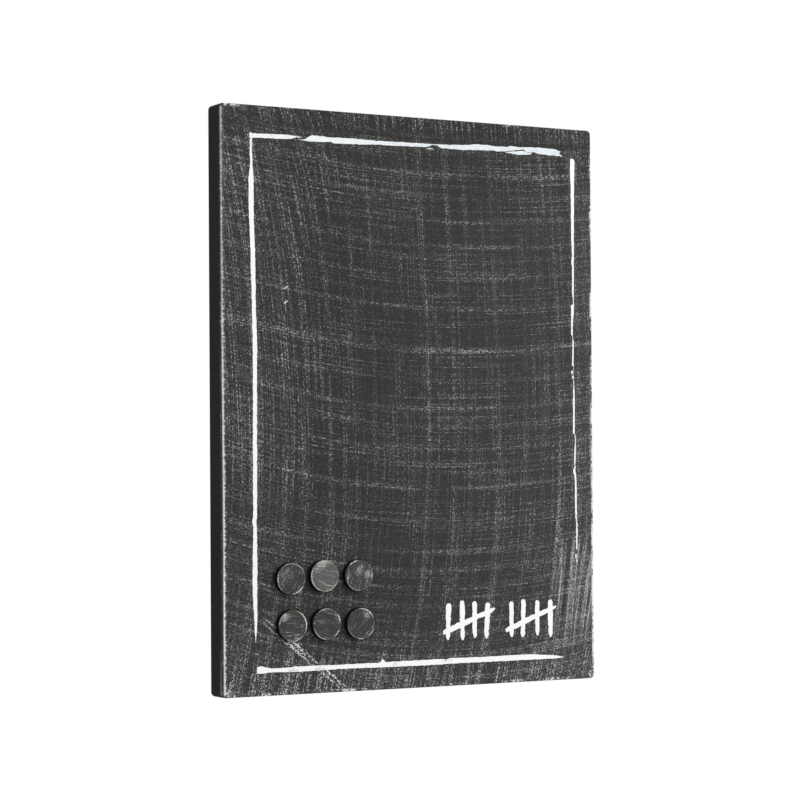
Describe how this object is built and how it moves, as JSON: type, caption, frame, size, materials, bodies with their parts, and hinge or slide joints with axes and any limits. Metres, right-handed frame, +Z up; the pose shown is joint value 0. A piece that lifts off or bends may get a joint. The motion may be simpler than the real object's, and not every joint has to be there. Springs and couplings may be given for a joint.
{
  "type": "metal memo board",
  "caption": "Wall-hung memo board: a shallow folded steel tray with keyhole hangers and wall pads behind, and round lift-off magnets on its brushed dark face.",
  "frame": {"origin": "on the wall plane, where the rear faces of the wall pads lie, behind the middle of the board", "axes": "+Z up, +Y into the wall, so the painted face looks towards -Y, and +X to the right of someone facing the board"},
  "size_m": [0.3, 0.027, 0.4],
  "materials": {
    "tray_paint": "matt charcoal paint, dry-brushed with fine white strokes, worn bright along the folds",
    "zinc_plate": "bright zinc plating, satin",
    "rivet_aluminium": "plain aluminium, satin",
    "pad_rubber": "matt soft rubber",
    "magnet_paint": "charcoal paint over a pressed steel cap, dry-brushed, worn pale at the rim",
    "ferrite": "matt dark grey sintered ferrite"
  },
  "bodies": {
    "board": {"front_tray": "tray_paint", "hanger_plate_left": "zinc_plate", "hanger_plate_right": "zinc_plate", "hanger_rivet_1": "rivet_aluminium", "hanger_rivet_2": "rivet_aluminium", "hanger_rivet_3": "rivet_aluminium", "hanger_rivet_4": "rivet_aluminium", "bumper_pad_upper_left": "pad_rubber", "bumper_pad_upper_right": "pad_rubber", "bumper_pad_lower_left": "pad_rubber", "bumper_pad_lower_right": "pad_rubber"},
    "magnet_1": {"magnet_cap_1": "magnet_paint", "magnet_core_1": "ferrite"},
    "magnet_2": {"magnet_cap_2": "magnet_paint", "magnet_core_2": "ferrite"},
    "magnet_3": {"magnet_cap_3": "magnet_paint", "magnet_core_3": "ferrite"},
    "magnet_4": {"magnet_cap_4": "magnet_paint", "magnet_core_4": "ferrite"},
    "magnet_5": {"magnet_cap_5": "magnet_paint", "magnet_core_5": "ferrite"},
    "magnet_6": {"magnet_cap_6": "magnet_paint", "magnet_core_6": "ferrite"}
  },
  "joints": [
    {"name": "magnet_1_lift", "type": "slide", "parent": "board", "child": "magnet_1", "axis": [0, -1, 0], "range_m": [0, 0.03]},
    {"name": "magnet_2_lift", "type": "slide", "parent": "board", "child": "magnet_2", "axis": [0, -1, 0], "range_m": [0, 0.03]},
    {"name": "magnet_3_lift", "type": "slide", "parent": "board", "child": "magnet_3", "axis": [0, -1, 0], "range_m": [0, 0.03]},
    {"name": "magnet_4_lift", "type": "slide", "parent": "board", "child": "magnet_4", "axis": [0, -1, 0], "range_m": [0, 0.03]},
    {"name": "magnet_5_lift", "type": "slide", "parent": "board", "child": "magnet_5", "axis": [0, -1, 0], "range_m": [0, 0.03]},
    {"name": "magnet_6_lift", "type": "slide", "parent": "board", "child": "magnet_6", "axis": [0, -1, 0], "range_m": [0, 0.03]}
  ]
}
